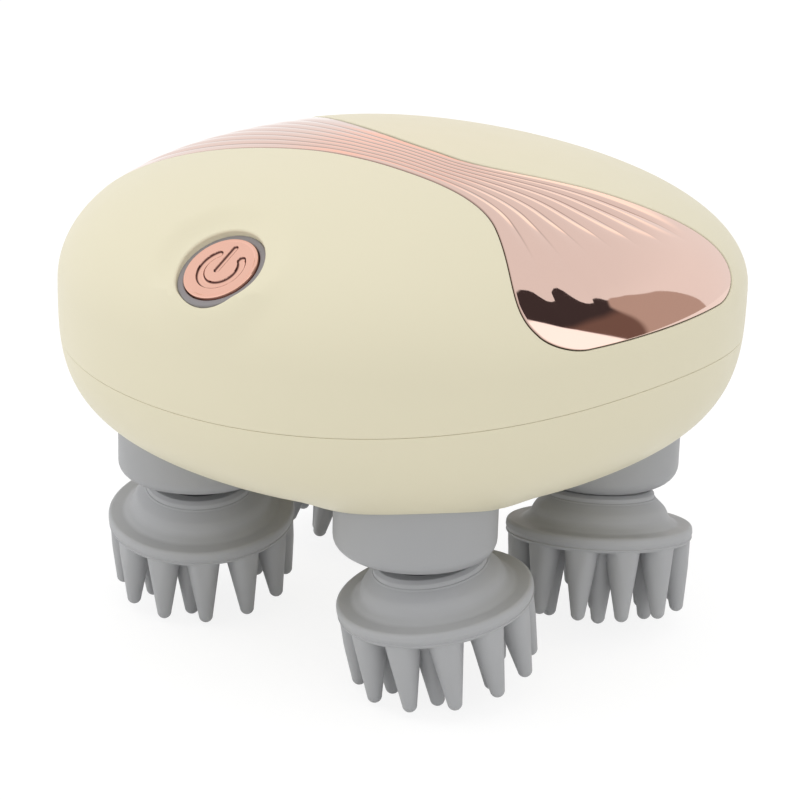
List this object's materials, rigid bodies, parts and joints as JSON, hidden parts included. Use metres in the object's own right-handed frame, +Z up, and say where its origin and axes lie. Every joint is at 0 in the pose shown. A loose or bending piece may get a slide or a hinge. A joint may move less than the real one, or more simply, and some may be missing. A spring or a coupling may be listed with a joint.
{
  "type": "electric scalp massager",
  "caption": "Rounded hand-held scalp massager with a ribbed trim strip, a power button and geared, tilted massage claws under the belly.",
  "frame": {"origin": "centre of the bounding box's base: the ground under the claws, midway between the outermost points of the body", "axes": "+Z up through the crown; -Y towards the button; +X towards the wide end of the trim strip that faces the viewer"},
  "size_m": [0.112, 0.1186, 0.089],
  "materials": {
    "cream_shell": "soft satin",
    "rose_plate": "rose-gold plated, satin to bright",
    "grey_socket": "satin",
    "grey_silicone": "soft matt",
    "dark_rubber": "matt",
    "nylon": "natural",
    "hub_plastic": "satin",
    "steel": "ground",
    "bronze": "sintered",
    "can_steel": "zinc plated",
    "cell_wrap": "shrink wrap",
    "board": "solder resist"
  },
  "bodies": {
    "housing": {"upper_shell": "cream_shell", "lower_shell": "cream_shell", "sealing_band": "dark_rubber", "trim_strip": "rose_plate", "button_ring": "grey_silicone", "tact_switch": "hub_plastic", "circuit_board": "board", "head_socket_fr": "grey_socket", "head_socket_fl": "grey_socket", "head_socket_br": "grey_socket", "head_socket_bl": "grey_socket", "socket_bushes": "bronze", "plate_bushes": "bronze", "shaft_seals": "dark_rubber", "sun_axle": "steel", "idler_axle": "steel", "motor_can": "can_steel", "gearbox_base": "nylon", "gearbox_top": "nylon", "gearbox_pillars": "nylon", "battery": "cell_wrap", "battery_cradle": "nylon", "housing_screws": "steel", "charge_socket": "steel"},
    "power_button": {"power_button": "rose_plate", "switch_plunger": "hub_plastic"},
    "head_fr": {"massage_claw_fr": "grey_silicone", "claw_hub_fr": "hub_plastic", "head_shaft_fr": "steel", "head_gear_fr": "nylon"},
    "head_fl": {"massage_claw_fl": "grey_silicone", "claw_hub_fl": "hub_plastic", "head_shaft_fl": "steel", "head_gear_fl": "nylon"},
    "head_br": {"massage_claw_br": "grey_silicone", "claw_hub_br": "hub_plastic", "head_shaft_br": "steel", "head_gear_br": "nylon"},
    "head_bl": {"massage_claw_bl": "grey_silicone", "claw_hub_bl": "hub_plastic", "head_shaft_bl": "steel", "head_gear_bl": "nylon"},
    "sun_gear": {"sun_gear": "nylon"},
    "idler_gear": {"idler_gear": "nylon"},
    "motor_rotor": {"motor_pinion": "bronze", "motor_shaft": "steel"}
  },
  "joints": [
    {"name": "button_press", "type": "slide", "parent": "housing", "child": "power_button", "axis": [0, 0.5592, -0.829], "range_m": [0, 0.0008], "stiffness_N_per_m": 900},
    {"name": "head_fr_spin", "type": "hinge", "parent": "housing", "child": "head_fr", "pos_m": [0.02565, -0.02565, 0.02592], "axis": [0, 0, 1], "continuous": true},
    {"name": "head_fl_spin", "type": "hinge", "parent": "housing", "child": "head_fl", "pos_m": [-0.02565, -0.02565, 0.02592], "axis": [0, 0, 1], "continuous": true},
    {"name": "head_br_spin", "type": "hinge", "parent": "housing", "child": "head_br", "pos_m": [0.02565, 0.02565, 0.02592], "axis": [0, 0, 1], "continuous": true},
    {"name": "head_bl_spin", "type": "hinge", "parent": "housing", "child": "head_bl", "pos_m": [-0.02565, 0.02565, 0.02592], "axis": [0, 0, 1], "continuous": true},
    {"name": "sun_spin", "type": "hinge", "parent": "housing", "child": "sun_gear", "pos_m": [0, 0, 0.04492], "axis": [0, 0, 1], "continuous": true},
    {"name": "idler_spin", "type": "hinge", "parent": "housing", "child": "idler_gear", "pos_m": [0, 0.02721, 0.04492], "axis": [0, 0, 1], "continuous": true},
    {"name": "motor_spin", "type": "hinge", "parent": "housing", "child": "motor_rotor", "pos_m": [0, 0.01321, 0.04492], "axis": [0, 0, 1], "continuous": true}
  ],
  "couplings": [
    {"joint": "head_fl_spin", "follows": "head_fr_spin", "ratio": 1},
    {"joint": "head_br_spin", "follows": "head_fr_spin", "ratio": 1},
    {"joint": "head_bl_spin", "follows": "head_fr_spin", "ratio": 1},
    {"joint": "sun_spin", "follows": "head_fr_spin", "ratio": -0.71429},
    {"joint": "idler_spin", "follows": "head_fr_spin", "ratio": 2.5},
    {"joint": "motor_spin", "follows": "head_fr_spin", "ratio": -15}
  ]
}
